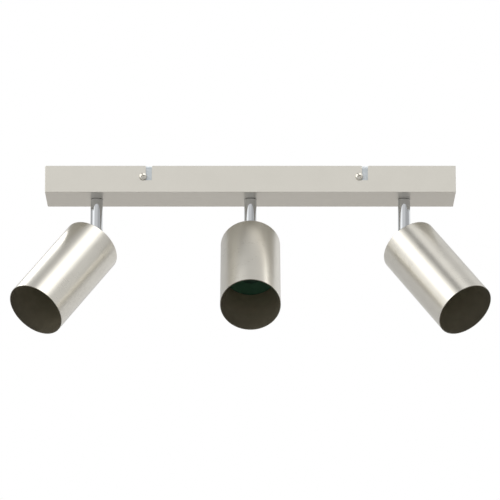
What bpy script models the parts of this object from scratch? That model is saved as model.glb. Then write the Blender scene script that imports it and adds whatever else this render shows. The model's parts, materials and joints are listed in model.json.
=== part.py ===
"""Ceiling bar light with three adjustable cylinder spots, as an assembly of separate pieces.

The frame: the origin is the middle of the ceiling face, +Z points up into the ceiling, +X runs along
the bar and -Y is the side with the two visible cover screws. Everything hangs below z = 0.
Each spot turns with its stem about a vertical axis, and tilts on a ball-shaped knuckle below the stem.
"""

import math

import bmesh
import bpy
from mathutils import Vector

MM = 0.001

# Bar: a folded sheet cover that hangs on a channel-shaped bracket.
BAR_LENGTH = 400 * MM
BAR_WIDTH = 60 * MM
BAR_HEIGHT = 26.5 * MM
COVER_SHEET = 1.0 * MM
COVER_EDGE_RADIUS = 0.5 * MM
BRACKET_SHEET = 1.2 * MM
BRACKET_LENGTH = 384 * MM
BRACKET_DEPTH = 18 * MM
BRACKET_EDGE_RADIUS = 2.0 * MM
BRACKET_SIDE_GAP = 0.4 * MM

# Gaps that keep touching pieces from overlapping.
GAP = 0.3 * MM
FINE_GAP = 0.15 * MM

# Cover screws, and the L-shaped slots that they hold the cover by.
COVER_SCREW_X = (-104.6 * MM, 105.9 * MM)
COVER_SCREW_Z = -10.8 * MM
SCREW_RADIUS = 2.0 * MM
SCREW_HOLE_RADIUS = 2.25 * MM
SCREW_HEAD_RADIUS = 4.0 * MM
SCREW_HEAD_HEIGHT = 2.6 * MM
SCREW_LENGTH = 9 * MM
SLOT_WIDTH = 5.8 * MM
SLOT_OFFSET = 5.7 * MM
SLOT_TOP = -8.6 * MM
SLOT_LEAD_IN = 0.8 * MM

# Ceiling slots and cable entry in the bracket.
CEILING_SLOT_X = (-128 * MM, 128 * MM)
CEILING_SLOT_LENGTH = 22 * MM
CEILING_SLOT_WIDTH = 5.5 * MM
CABLE_HOLE_X = -45 * MM
CABLE_HOLE_RADIUS = 8 * MM
GROMMET_FLANGE_RADIUS = 10.5 * MM
GROMMET_BORE_RADIUS = 5.2 * MM

# Terminal block, earth screw and leads.
TERMINAL_X = 55 * MM
TERMINAL_SIZE = (17 * MM, 32 * MM, 12 * MM)
TERMINAL_PITCH = 10 * MM
EARTH_SCREW_X = -80 * MM
EARTH_SCREW_Z = -9 * MM
LEAD_DIAMETER = 3.6 * MM
EARTH_LEAD_DIAMETER = 2.6 * MM
EARTH_TAG_SHEET = 0.8 * MM
TERMINAL_HOLE_RADIUS = 1.8 * MM

# Spots.
SPOT_PITCH = 150.5 * MM
SPOTS = (("left", -1, -45), ("centre", 0, 0), ("right", 1, 45))
REST_TILT_DEG = 44
STEM_RADIUS = 6 * MM
STEM_BORE_RADIUS = 5 * MM
STEM_HOLE_RADIUS = 5.2 * MM
NIPPLE_RADIUS = 4.7 * MM
NIPPLE_BORE_RADIUS = 3.3 * MM
WASHER_THICKNESS = 0.3 * MM
PIVOT_BELOW_BAR = 41 * MM
KNUCKLE_RADIUS = 6.8 * MM
KNUCKLE_BORE_RADIUS = 2.8 * MM
HINGE_SCREW_HOLE_RADIUS = 2.3 * MM
HINGE_SEAT = 3.2 * MM
HINGE_NUT_HEIGHT = 2.2 * MM
NIPPLE_TOP = 9 * MM
NIPPLE_FOOT = -10 * MM
SPRING_WASHER_RADIUS = 8 * MM
SPRING_WASHER_TOP = 1.1 * MM
NUT_FLATS = 14 * MM
NUT_HEIGHT = 3 * MM

# Shade, measured along its own axis from the tilt pivot.
SHADE_RADIUS = 29 * MM
SHADE_WALL = 0.8 * MM
SHADE_BACK = 9.5 * MM
SHADE_LENGTH = 104 * MM
SHADE_EDGE_RADIUS = 0.6 * MM
BAFFLE_DEPTH = 58.5 * MM
BAFFLE_RIM = 6 * MM
BAFFLE_SHEET = 0.8 * MM
HOLDER_RADIUS = 14 * MM
HOLDER_FLANGE_RADIUS = 17 * MM
HOLDER_LENGTH = 12 * MM
GU10_PIN_SPACING = 10 * MM
GU10_PIN_HOLE_RADIUS = 2.9 * MM
GU10_PIN_HOLE_DEPTH = 8 * MM
STRAP_WIDTH = 12 * MM
STRAP_SHEET = 1.0 * MM
STRAP_HALF_SPAN = 19 * MM

COARSE = 14
MEDIUM = 20
FINE = 40


# ---------------------------------------------------------------- helpers

def clear_scene():
    for obj in list(bpy.data.objects):
        bpy.data.objects.remove(obj)


def new_collection(name):
    collection = bpy.data.collections.new(name)
    bpy.context.scene.collection.children.link(collection)
    return collection


def make_material(name, colour, metallic, roughness):
    material = bpy.data.materials.new(name)
    material.use_nodes = True
    shader = material.node_tree.nodes["Principled BSDF"]
    shader.inputs["Base Color"].default_value = (*colour, 1.0)
    shader.inputs["Metallic"].default_value = metallic
    shader.inputs["Roughness"].default_value = roughness
    return material


def evaluated_mesh(obj):
    bpy.context.view_layer.update()
    graph = bpy.context.evaluated_depsgraph_get()
    return bpy.data.meshes.new_from_object(obj.evaluated_get(graph))


def add_object(name, data, parent=None, cutter=False):
    obj = bpy.data.objects.new(name, data)
    (cutters if cutter else parts).objects.link(obj)
    obj.parent = parent
    if cutter:
        obj.hide_render = True
        obj.display_type = "WIRE"
    return obj


def add_empty(name, parent=None, location=(0, 0, 0), rotation=(0, 0, 0)):
    empty = bpy.data.objects.new(name, None)
    parts.objects.link(empty)
    empty.parent = parent
    empty.location = location
    empty.rotation_euler = rotation
    return empty


def finish(obj, material):
    """Applies the modifiers, shades the round faces smooth, and sets the material."""
    mesh = evaluated_mesh(obj)
    obj.modifiers.clear()
    obj.data = mesh
    mesh.materials.clear()
    mesh.materials.append(material)
    mesh.shade_smooth()
    mesh.set_sharp_from_angle(angle=math.radians(35))
    return obj


def combine(obj, other, operation):
    """Boolean of obj with other, applied at once."""
    modifier = obj.modifiers.new(operation.lower(), "BOOLEAN")
    modifier.operation = operation
    modifier.solver = "EXACT"
    modifier.object = other
    mesh = evaluated_mesh(obj)
    obj.modifiers.clear()
    obj.data = mesh
    return obj


def union(obj, other):
    combine(obj, other, "UNION")
    bpy.data.objects.remove(other)
    return obj


def turned(name, profile, steps, parent=None, cutter=False):
    """A solid of revolution about Z. The profile holds (radius, height) points that run down the outer
    side; it starts and ends on the axis, or it is a closed loop round a bore."""
    points = [(radius, 0, height) for radius, height in profile]
    on_axis = profile[0][0] == 0 and profile[-1][0] == 0
    count = len(points)
    edges = [(i, i + 1) for i in range(count - 1)]
    if not on_axis:
        edges.append((count - 1, 0))
    mesh = bpy.data.meshes.new(name)
    mesh.from_pydata(points, edges, [])
    obj = add_object(name, mesh, parent, cutter)
    screw = obj.modifiers.new("turn", "SCREW")
    screw.steps = screw.render_steps = steps
    screw.use_merge_vertices = True
    screw.merge_threshold = 0.00001
    obj.data = evaluated_mesh(obj)
    obj.modifiers.clear()
    return obj


def disc_profile(radius, top, bottom):
    return [(0, top), (radius, top), (radius, bottom), (0, bottom)]


def ring_profile(outer, inner, top, bottom, chamfer=0.0):
    """A closed loop down the outside and up the bore, with chamfered outer corners if asked."""
    if not chamfer:
        return [(outer, top), (outer, bottom), (inner, bottom), (inner, top)]
    return [
        (outer - chamfer, top), (outer, top - chamfer), (outer, bottom + chamfer),
        (outer - chamfer, bottom), (inner, bottom), (inner, top),
    ]


def box(name, size, centre, parent=None, cutter=False, bevel=0.0):
    mesh = bpy.data.meshes.new(name)
    shape = bmesh.new()
    bmesh.ops.create_cube(shape, size=1)
    bmesh.ops.scale(shape, vec=size, verts=shape.verts)
    bmesh.ops.translate(shape, vec=centre, verts=shape.verts)
    if bevel:
        bmesh.ops.bevel(shape, geom=shape.edges, offset=bevel, segments=1, affect="EDGES", profile=0.5)
    shape.to_mesh(mesh)
    shape.free()
    return add_object(name, mesh, parent, cutter)


def ball(name, radius, parent=None, cutter=False):
    mesh = bpy.data.meshes.new(name)
    shape = bmesh.new()
    bmesh.ops.create_uvsphere(shape, u_segments=COARSE, v_segments=COARSE // 2, radius=radius)
    shape.to_mesh(mesh)
    shape.free()
    return add_object(name, mesh, parent, cutter)


def flat_outline(name, outline, thickness, holes=(), parent=None, cutter=False):
    """A plate in the XY plane, centred on z = 0, from a 2D curve of straight runs with holes in it."""
    curve = bpy.data.curves.new(name, "CURVE")
    curve.dimensions = "2D"
    curve.fill_mode = "BOTH"
    curve.extrude = thickness / 2
    for ring in (outline, *holes):
        spline = curve.splines.new("POLY")
        spline.points.add(len(ring) - 1)
        for point, (x, y) in zip(spline.points, ring):
            point.co = (x, y, 0, 1)
        spline.use_cyclic_u = True
    guide = add_object(name + "_outline", curve, None, True)
    mesh = evaluated_mesh(guide)
    bpy.data.objects.remove(guide)
    weld(mesh)
    mesh.name = name
    return add_object(name, mesh, parent, cutter)


def weld(mesh):
    shape = bmesh.new()
    shape.from_mesh(mesh)
    bmesh.ops.remove_doubles(shape, verts=shape.verts, dist=0.00001)
    bmesh.ops.recalc_face_normals(shape, faces=shape.faces)
    shape.to_mesh(mesh)
    shape.free()


def circle_points(radius, steps, centre=(0, 0)):
    return arc_points(centre, radius, 0, 360, steps)[:-1]


def arc_points(centre, radius, start_deg, end_deg, steps):
    angles = [math.radians(start_deg + (end_deg - start_deg) * i / steps) for i in range(steps + 1)]
    return [(centre[0] + radius * math.cos(a), centre[1] + radius * math.sin(a)) for a in angles]


def smooth_route(points, per_span=4):
    """A Catmull-Rom curve through the points, as a list of vectors."""
    knots = [Vector(p) for p in points]
    knots = [2 * knots[0] - knots[1], *knots, 2 * knots[-1] - knots[-2]]
    route = []
    for a, b, c, d in zip(knots, knots[1:], knots[2:], knots[3:]):
        for i in range(per_span):
            t = i / per_span
            route.append(0.5 * (2 * b + (c - a) * t + (2 * a - 5 * b + 4 * c - d) * t**2
                                + (3 * b - a - 3 * c + d) * t**3))
    return [*route, knots[-2]]


def lead(name, points, diameter, material, parent=None):
    """A wire or sleeve that follows a smooth route."""
    curve = bpy.data.curves.new(name, "CURVE")
    curve.dimensions = "3D"
    curve.bevel_depth = diameter / 2
    curve.bevel_resolution = 2
    curve.use_fill_caps = True
    spline = curve.splines.new("POLY")
    route = smooth_route(points)
    spline.points.add(len(route) - 1)
    for point, place in zip(spline.points, route):
        point.co = (*place, 1)
    guide = add_object(name + "_route", curve, None, True)
    mesh = evaluated_mesh(guide)
    bpy.data.objects.remove(guide)
    weld(mesh)
    mesh.name = name
    obj = add_object(name, mesh, parent)
    return finish(obj, material)


# ---------------------------------------------------------------- fasteners

def dome_head_profile(head_radius, head_height, shank_radius, length, steps=3):
    """A screw that points down: a domed head above z = 0 and a shank below it."""
    dome = []
    rim = 0.25 * head_height
    for i in range(steps + 1):
        angle = math.pi / 2 * (1 - i / steps)
        dome.append((head_radius * math.cos(angle), rim + (head_height - rim) * math.sin(angle)))
    dome[0] = (0, head_height)
    tip = 0.5 * MM
    return [
        *dome, (head_radius, 0), (shank_radius, 0), (shank_radius, tip - length),
        (shank_radius - tip, -length), (0, -length),
    ]


def screw(name, material, head_radius, head_height, shank_radius, length, parent=None):
    """A domed screw with a cross recess, pointing down its own -Z."""
    profile = dome_head_profile(head_radius, head_height, shank_radius, length)
    obj = turned(name, profile, COARSE, parent)
    recess_depth = 0.55 * head_height
    recess_length = 1.1 * head_radius
    recess_width = 0.24 * head_radius
    for sizes in ((recess_length, recess_width), (recess_width, recess_length)):
        cutter = box("recess", (*sizes, 2 * recess_depth), (0, 0, head_height), cutter=True)
        combine(obj, cutter, "DIFFERENCE")
        bpy.data.objects.remove(cutter)
    return finish(obj, material)


def hex_nut(name, material, flats, height, bore_radius, parent=None):
    corner = flats / 2 / math.cos(math.pi / 6)
    hexagon = circle_points(corner, 6)
    obj = flat_outline(name, hexagon, height, [circle_points(bore_radius, COARSE)], parent)
    return finish(obj, material)


# ---------------------------------------------------------------- bar

def open_shell(name, size, removed, bevelled, radius, segments):
    """A box surface under z = 0 without the faces whose normals are in removed, its chosen edges rounded.
    bevelled says, from an edge's two ends, whether that edge is a fold."""
    mesh = bpy.data.meshes.new(name)
    shape = bmesh.new()
    bmesh.ops.create_cube(shape, size=1)
    bmesh.ops.scale(shape, vec=size, verts=shape.verts)
    bmesh.ops.translate(shape, vec=(0, 0, -size[2] / 2), verts=shape.verts)
    away = [f for f in shape.faces if any((f.normal - Vector(n)).length < 0.01 for n in removed)]
    bmesh.ops.delete(shape, geom=away, context="FACES")
    folds = [e for e in shape.edges if len(e.link_faces) == 2 and bevelled(*[v.co for v in e.verts])]
    bmesh.ops.bevel(shape, geom=folds, offset=radius, segments=segments, affect="EDGES", profile=0.5)
    shape.to_mesh(mesh)
    shape.free()
    return add_object(name, mesh)


def thicken(obj, sheet):
    solidify = obj.modifiers.new("sheet", "SOLIDIFY")
    solidify.thickness = sheet
    solidify.offset = -1
    solidify.use_even_offset = True
    obj.data = evaluated_mesh(obj)
    obj.modifiers.clear()


def slot_outline(side):
    """The L-shaped cover slot as seen from the front, with the screw's seat at the end of its foot and a
    chamfered lead-in at the cover's top edge.
    side is -1 for the front wall and 1 for the back wall, where the slot is seen from behind."""
    half = SLOT_WIDTH / 2
    seat = (0, SLOT_TOP - half)
    near = SLOT_OFFSET - half
    far = SLOT_OFFSET + half
    above = 5 * MM
    points = [
        (near - SLOT_LEAD_IN, above), (near - SLOT_LEAD_IN, 0), (near, -SLOT_LEAD_IN), (near, SLOT_TOP),
        *arc_points(seat, half, 90, 270, 6), (far, SLOT_TOP - SLOT_WIDTH), (far, -SLOT_LEAD_IN),
        (far + SLOT_LEAD_IN, 0), (far + SLOT_LEAD_IN, above),
    ]
    return points if side < 0 else [(-x, z) for x, z in reversed(points)]


def cut_cover_slots(cover):
    for side in (-1, 1):
        for screw_x in COVER_SCREW_X:
            cutter = flat_outline("cover_slot", slot_outline(side), 6 * COVER_SHEET, cutter=True)
            # The outline's own X and Y become the wall's X and Z. Both walls' slots open to +X.
            cutter.rotation_euler = (math.pi / 2, 0, 0 if side < 0 else math.pi)
            cutter.location = (screw_x, side * BAR_WIDTH / 2, 0)
            combine(cover, cutter, "DIFFERENCE")
            bpy.data.objects.remove(cutter)


def canopy_cover():
    def fold(a, b):
        return min(a.z, b.z) < -BAR_HEIGHT + MM

    size = (BAR_LENGTH, BAR_WIDTH, BAR_HEIGHT)
    cover = open_shell("canopy_cover", size, [], fold, COVER_EDGE_RADIUS, 2)
    inside = (BAR_LENGTH - 2 * COVER_SHEET, BAR_WIDTH - 2 * COVER_SHEET, 2 * (BAR_HEIGHT - COVER_SHEET))
    cavity = box("cavity", inside, (0, 0, 0), cutter=True)
    combine(cover, cavity, "DIFFERENCE")
    bpy.data.objects.remove(cavity)
    cut_cover_slots(cover)
    for _, step, _ in SPOTS:
        hole = turned("stem_hole", disc_profile(STEM_HOLE_RADIUS, -20 * MM, -30 * MM), COARSE, cutter=True)
        hole.location.x = step * SPOT_PITCH
        combine(cover, hole, "DIFFERENCE")
        bpy.data.objects.remove(hole)
    return finish(cover, nickel)


def bracket_half_width():
    return BAR_WIDTH / 2 - COVER_SHEET - BRACKET_SIDE_GAP


def mounting_bracket():
    def fold(a, b):
        return a.z > -MM and b.z > -MM

    size = (BRACKET_LENGTH, 2 * bracket_half_width(), BRACKET_DEPTH)
    ends_and_bottom = [(0, 0, -1), (1, 0, 0), (-1, 0, 0)]
    bracket = open_shell("mounting_bracket", size, ends_and_bottom, fold, BRACKET_EDGE_RADIUS, 2)
    thicken(bracket, BRACKET_SHEET)
    for cutter in bracket_cutters():
        combine(bracket, cutter, "DIFFERENCE")
        bpy.data.objects.remove(cutter)
    return finish(bracket, galvanised)


def bracket_cutters():
    half_run = (CEILING_SLOT_LENGTH - CEILING_SLOT_WIDTH) / 2
    end_radius = CEILING_SLOT_WIDTH / 2
    right_end = arc_points((half_run, 0), end_radius, -90, 90, 6)
    left_end = arc_points((-half_run, 0), end_radius, 90, 270, 6)
    oblong = [*right_end, *left_end]
    for x in CEILING_SLOT_X:
        slot = flat_outline("ceiling_slot", oblong, 8 * MM, cutter=True)
        slot.location.x = x
        yield slot
    entry = turned("cable_hole", disc_profile(CABLE_HOLE_RADIUS, 4 * MM, -4 * MM), MEDIUM, cutter=True)
    entry.location.x = CABLE_HOLE_X
    yield entry
    fixing = turned("terminal_hole", disc_profile(TERMINAL_HOLE_RADIUS, 4 * MM, -4 * MM), COARSE, cutter=True)
    fixing.location.x = TERMINAL_X
    yield fixing
    threads = [(x, side, COVER_SCREW_Z) for x in COVER_SCREW_X for side in (-1, 1)]
    for x, side, z in [*threads, (EARTH_SCREW_X, 1, EARTH_SCREW_Z)]:
        hole = turned("thread", disc_profile(SCREW_HOLE_RADIUS, 4 * MM, -4 * MM), COARSE, cutter=True)
        hole.rotation_euler.x = math.pi / 2
        hole.location = (x, side * bracket_half_width(), z)
        yield hole


def cover_screws():
    for side, face in ((-1, "front"), (1, "back")):
        for x, end in zip(COVER_SCREW_X, ("left", "right")):
            obj = screw(f"cover_screw_{face}_{end}", nickel, SCREW_HEAD_RADIUS, SCREW_HEAD_HEIGHT,
                        SCREW_RADIUS, SCREW_LENGTH)
            obj.location = (x, side * (BAR_WIDTH / 2 + FINE_GAP), COVER_SCREW_Z)
            obj.rotation_euler = (-side * math.pi / 2, 0, 0)


def cable_grommet():
    collar = CABLE_HOLE_RADIUS - GAP
    flange_top = -BRACKET_SHEET - FINE_GAP
    flange_bottom = flange_top - 2 * MM
    profile = [
        (collar, -FINE_GAP), (collar, flange_top), (GROMMET_FLANGE_RADIUS, flange_top),
        (GROMMET_FLANGE_RADIUS, flange_bottom + 0.6 * MM), (GROMMET_FLANGE_RADIUS - 0.6 * MM, flange_bottom),
        (GROMMET_BORE_RADIUS, flange_bottom), (GROMMET_BORE_RADIUS, -FINE_GAP),
    ]
    grommet = turned("cable_grommet", profile, MEDIUM)
    grommet.location.x = CABLE_HOLE_X
    return finish(grommet, rubber)


def terminal_block():
    top = -BRACKET_SHEET - GAP
    centre = (TERMINAL_X, 0, top - TERMINAL_SIZE[2] / 2)
    block = box("terminal_block", TERMINAL_SIZE, centre, bevel=0.6 * MM)
    for step in (-0.5, 0.5):
        groove = box("groove", (TERMINAL_SIZE[0] * 1.2, 1.4 * MM, 8 * MM),
                     (TERMINAL_X, step * TERMINAL_PITCH, top - TERMINAL_SIZE[2]), cutter=True)
        combine(block, groove, "DIFFERENCE")
        bpy.data.objects.remove(groove)
    passage = turned("passage", disc_profile(TERMINAL_HOLE_RADIUS, 2 * MM, -30 * MM), COARSE, cutter=True)
    passage.location.x = TERMINAL_X
    combine(block, passage, "DIFFERENCE")
    bpy.data.objects.remove(passage)
    return finish(block, white_plastic)


def terminal_block_screw():
    head_seat = -BRACKET_SHEET - GAP - TERMINAL_SIZE[2] - GAP
    obj = screw("terminal_block_screw", zinc, 3 * MM, 2 * MM, 1.5 * MM, -head_seat - 0.2 * MM)
    obj.location = (TERMINAL_X, 0, head_seat)
    obj.rotation_euler.x = math.pi
    return obj


def earth_terminal():
    """The earth screw in the bracket's back flange, and the lead that ends under its head."""
    inner_face = bracket_half_width() - BRACKET_SHEET
    seat = inner_face - GAP - EARTH_TAG_SHEET - GAP
    obj = screw("earth_screw", zinc, 3.6 * MM, 2.4 * MM, SCREW_RADIUS, bracket_half_width() - seat)
    obj.location = (EARTH_SCREW_X, seat, EARTH_SCREW_Z)
    obj.rotation_euler.x = math.pi / 2
    tag_y = inner_face - GAP - EARTH_TAG_SHEET / 2
    tongue = 10 * MM
    block_side = TERMINAL_X - TERMINAL_SIZE[0] / 2 - GAP
    wire = lead("earth_lead", [
        (EARTH_SCREW_X + 5.2 * MM, tag_y - 0.6 * MM, EARTH_SCREW_Z), (-70 * MM, tag_y - 1 * MM, EARTH_SCREW_Z),
        (-60 * MM, 24 * MM, -13 * MM),
        (-30 * MM, 22 * MM, -19 * MM), (10 * MM, 21 * MM, -18 * MM), (32 * MM, 15 * MM, -13 * MM),
        (block_side - 5 * MM, 11 * MM, -8 * MM), (block_side, 11 * MM, -8 * MM),
    ], EARTH_LEAD_DIAMETER, earth_green)
    outline = [*arc_points((0, 0), 4.2 * MM, 18, 342, 20), (tongue, -1.2 * MM), (tongue, 1.2 * MM)]
    tag = flat_outline("ring_tag", outline, EARTH_TAG_SHEET, [circle_points(SCREW_HOLE_RADIUS, COARSE)])
    tag.rotation_euler.x = math.pi / 2
    tag.location = (EARTH_SCREW_X, tag_y, EARTH_SCREW_Z)
    union(wire, tag)
    return finish(wire, earth_green)


def lamp_leads():
    """Each sleeved lead runs from the terminal block to a stem, and down the middle of the stem."""
    nipple_top = NIPPLE_TOP - BAR_HEIGHT
    stem_end = -BAR_HEIGHT - PIVOT_BELOW_BAR + KNUCKLE_RADIUS + 4 * MM
    block_left = TERMINAL_X - TERMINAL_SIZE[0] / 2 - GAP
    block_right = TERMINAL_X + TERMINAL_SIZE[0] / 2 + GAP
    down = [(0, 0, -12 * MM), (0, 0, nipple_top - 2 * MM), (0, 0, -34 * MM), (0, 0, stem_end)]
    starts = {
        "left": [
            (block_left, -10 * MM, -9 * MM), (block_left - 5 * MM, -10 * MM, -9 * MM),
            (32 * MM, -15 * MM, -14 * MM), (12 * MM, -20 * MM, -20 * MM),
            (-50 * MM, -21 * MM, -21 * MM), (-110 * MM, -17 * MM, -20 * MM), (-138 * MM, -6 * MM, -13 * MM),
        ],
        "centre": [(block_left, 0, -9 * MM), (block_left - 5 * MM, 0, -9 * MM), (26 * MM, 1 * MM, -9 * MM),
                   (10 * MM, 1 * MM, -8 * MM)],
        "right": [(block_right, 0, -9 * MM), (block_right + 5 * MM, 0, -9 * MM), (85 * MM, -3 * MM, -12 * MM),
                  (120 * MM, -4 * MM, -9 * MM),
                  (140 * MM, -1 * MM, -8 * MM)],
    }
    for name, step, _ in SPOTS:
        x = step * SPOT_PITCH
        route = starts[name] + [(x + dx, dy, z) for dx, dy, z in down]
        lead("lamp_lead_" + name, route, LEAD_DIAMETER, silicone)


# ---------------------------------------------------------------- spots

def stem_parts(name, arm):
    """What turns with the stem. arm is the swivel axis, with its origin on the bar's underside."""
    floor = COVER_SHEET
    washer = ring_profile(STEM_RADIUS + 0.1 * MM, STEM_HOLE_RADIUS, -FINE_GAP, -FINE_GAP - WASHER_THICKNESS)
    finish(turned("friction_washer_" + name, washer, MEDIUM, arm), black_plastic)
    stem_top = -2 * FINE_GAP - WASHER_THICKNESS
    neck_top = KNUCKLE_RADIUS + 3 * MM - PIVOT_BELOW_BAR
    tube = ring_profile(STEM_RADIUS, STEM_BORE_RADIUS, stem_top, neck_top + FINE_GAP, 0.3 * MM)
    finish(turned("stem_" + name, tube, MEDIUM, arm), chrome)
    nipple = ring_profile(NIPPLE_RADIUS, NIPPLE_BORE_RADIUS, NIPPLE_TOP, NIPPLE_FOOT, 0.4 * MM)
    finish(turned("stem_nipple_" + name, nipple, COARSE, arm), zinc)
    spring_top = floor + SPRING_WASHER_TOP
    spring = ring_profile(SPRING_WASHER_RADIUS, STEM_HOLE_RADIUS, spring_top, floor + FINE_GAP)
    finish(turned("spring_washer_" + name, spring, COARSE, arm), zinc)
    nut = hex_nut("lock_nut_" + name, zinc, NUT_FLATS, NUT_HEIGHT, NIPPLE_RADIUS + GAP, arm)
    nut.location.z = spring_top + FINE_GAP + NUT_HEIGHT / 2


def hinge_pocket(x_from, x_to, radius, parent):
    """A round cutter along X."""
    cutter = turned("pocket", disc_profile(radius, x_to, x_from), COARSE, parent, cutter=True)
    cutter.rotation_euler.y = math.pi / 2
    return cutter


def cut_hinge(half, side, head_radius, parent):
    """The hinge screw's hole through one half, and the pocket for its head or nut. side is the half's side."""
    through = 20 * MM
    pocket = sorted((side * HINGE_SEAT, side * through))
    cuts = [(-through, through, HINGE_SCREW_HOLE_RADIUS), (*pocket, head_radius)]
    for x_from, x_to, radius in cuts:
        cutter = hinge_pocket(x_from, x_to, radius, parent)
        combine(half, cutter, "DIFFERENCE")
        bpy.data.objects.remove(cutter)


def knuckle_half(name, side, neck, parent):
    """Half a ball on the given side of the tilt plane, joined to its neck, which is a turned profile."""
    half = ball(name, KNUCKLE_RADIUS, parent)
    room = 40 * MM
    centre = (side * (FINE_GAP - room / 2), 0, 0)
    other_side = box("other_side", (room, room, room), centre, parent, cutter=True)
    combine(half, other_side, "DIFFERENCE")
    bpy.data.objects.remove(other_side)
    return union(half, turned(name + "_neck", neck, COARSE, parent))


def knuckle_upper(name, pivot):
    bore_end = KNUCKLE_RADIUS + 1 * MM
    neck_from = KNUCKLE_RADIUS + GAP
    neck_top = KNUCKLE_RADIUS + 3 * MM
    spigot_top = neck_top + 7 * MM
    spigot_radius = STEM_BORE_RADIUS - GAP
    neck = [
        (0, bore_end), (KNUCKLE_BORE_RADIUS, bore_end), (KNUCKLE_BORE_RADIUS, spigot_top),
        (spigot_radius, spigot_top), (spigot_radius, neck_top), (STEM_RADIUS, neck_top),
        (STEM_RADIUS, neck_from), (0, neck_from),
    ]
    half = knuckle_half("knuckle_upper_" + name, -1, neck, pivot)
    web = box("web", (STEM_RADIUS * 0.8, STEM_RADIUS * 1.2, 4 * MM),
              (-STEM_RADIUS * 0.45, 0, KNUCKLE_RADIUS - 1.2 * MM), pivot)
    union(half, web)
    cut_hinge(half, -1, 4.5 * MM, pivot)
    return finish(half, chrome)


def knuckle_lower(name, head):
    neck_from = -KNUCKLE_RADIUS - GAP
    shoulder = -SHADE_BACK + FINE_GAP
    spigot_end = -SHADE_BACK - 8 * MM
    bore_end = -KNUCKLE_RADIUS - 1.2 * MM
    neck = [
        (0, neck_from), (STEM_RADIUS, neck_from), (STEM_RADIUS, shoulder), (NIPPLE_RADIUS, shoulder),
        (NIPPLE_RADIUS, spigot_end), (KNUCKLE_BORE_RADIUS, spigot_end), (KNUCKLE_BORE_RADIUS, bore_end),
        (0, bore_end),
    ]
    half = knuckle_half("knuckle_lower_" + name, 1, neck, head)
    web = box("web", (STEM_RADIUS * 0.8, STEM_RADIUS * 1.2, 4 * MM),
              (STEM_RADIUS * 0.45, 0, 1.2 * MM - KNUCKLE_RADIUS), head)
    union(half, web)
    cut_hinge(half, 1, 4.2 * MM, head)
    return finish(half, chrome)


def hinge_fasteners(name, pivot):
    """The clamp screw of the knuckle lies along X, its head on +X and its nut on -X."""
    length = 2 * HINGE_SEAT + 3.1 * MM
    obj = screw("hinge_screw_" + name, zinc, 3.7 * MM, 2.2 * MM, 1.95 * MM, length, pivot)
    obj.location.x = HINGE_SEAT + FINE_GAP
    obj.rotation_euler.y = math.pi / 2
    nut = hex_nut("hinge_nut_" + name, zinc, 7 * MM, HINGE_NUT_HEIGHT, 2.2 * MM, pivot)
    nut.rotation_euler.y = math.pi / 2
    nut.location.x = -HINGE_SEAT - FINE_GAP - HINGE_NUT_HEIGHT / 2


def shade(name, head):
    """A drawn cup: the closed end behind, with a hole for the knuckle's spigot, and the open mouth below."""
    back = -SHADE_BACK
    mouth = back - SHADE_LENGTH
    inner = SHADE_RADIUS - SHADE_WALL
    radius = SHADE_EDGE_RADIUS
    rounded = [(SHADE_RADIUS - radius + x, back - radius + y) for x, y in arc_points((0, 0), radius, 90, 0, 2)]
    rim = 0.25 * MM
    profile = [
        (STEM_BORE_RADIUS, back), *rounded, (SHADE_RADIUS, mouth + rim), (SHADE_RADIUS - rim, mouth),
        (inner, mouth), (inner, back - SHADE_WALL), (STEM_BORE_RADIUS, back - SHADE_WALL),
    ]
    return finish(turned("shade_" + name, profile, FINE, head), nickel)


def head_fixings(name, head):
    """Inside the shade's closed end: the strap, the nut that clamps it, and the lead to the holder."""
    strap_top = -SHADE_BACK - SHADE_WALL - GAP
    strap_foot = baffle_front() + BAFFLE_SHEET + GAP
    foot_end = STRAP_HALF_SPAN + 5 * MM
    t = STRAP_SHEET
    half = [
        (STRAP_HALF_SPAN, strap_top), (STRAP_HALF_SPAN, strap_foot + t), (foot_end, strap_foot + t),
        (foot_end, strap_foot), (STRAP_HALF_SPAN - t, strap_foot), (STRAP_HALF_SPAN - t, strap_top - t),
    ]
    outline = half + [(-x, z) for x, z in reversed(half)]
    strap = flat_outline("holder_bracket_" + name, outline, STRAP_WIDTH)
    strap.rotation_euler.x = math.pi / 2
    hole = turned("strap_hole", disc_profile(STEM_BORE_RADIUS, strap_top + 2 * MM, strap_top - 4 * MM), COARSE,
                  cutter=True)
    combine(strap, hole, "DIFFERENCE")
    bpy.data.objects.remove(hole)
    strap.parent = head
    finish(strap, galvanised)
    nut = hex_nut("head_nut_" + name, zinc, NUT_FLATS, NUT_HEIGHT, NIPPLE_RADIUS + GAP, head)
    nut.location.z = strap_top - t - GAP - NUT_HEIGHT / 2
    holder_back = baffle_front() + HOLDER_LENGTH
    lead("head_lead_" + name, [
        (0, 0, -SHADE_BACK + 1 * MM), (0, 0, -SHADE_BACK - 9 * MM), (0, 2.5 * MM, -29 * MM),
        (0, 0, holder_back + 4 * MM), (0, 0, holder_back + GAP),
    ], LEAD_DIAMETER, silicone, head)


def baffle_front():
    return -SHADE_BACK - SHADE_LENGTH + BAFFLE_DEPTH


def baffle_plate(name, head):
    """A black plate across the shade, with a rim against the wall and a hole for the lamp holder."""
    front = baffle_front()
    sheet = BAFFLE_SHEET
    outer = SHADE_RADIUS - SHADE_WALL - GAP
    profile = [
        (outer, front + BAFFLE_RIM), (outer, front + sheet), (outer - sheet, front),
        (HOLDER_RADIUS + GAP, front), (HOLDER_RADIUS + GAP, front + sheet),
        (outer - sheet - 0.3 * MM, front + sheet), (outer - sheet, front + BAFFLE_RIM),
    ]
    return finish(turned("baffle_plate_" + name, profile, FINE, head), black_paint)


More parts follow.
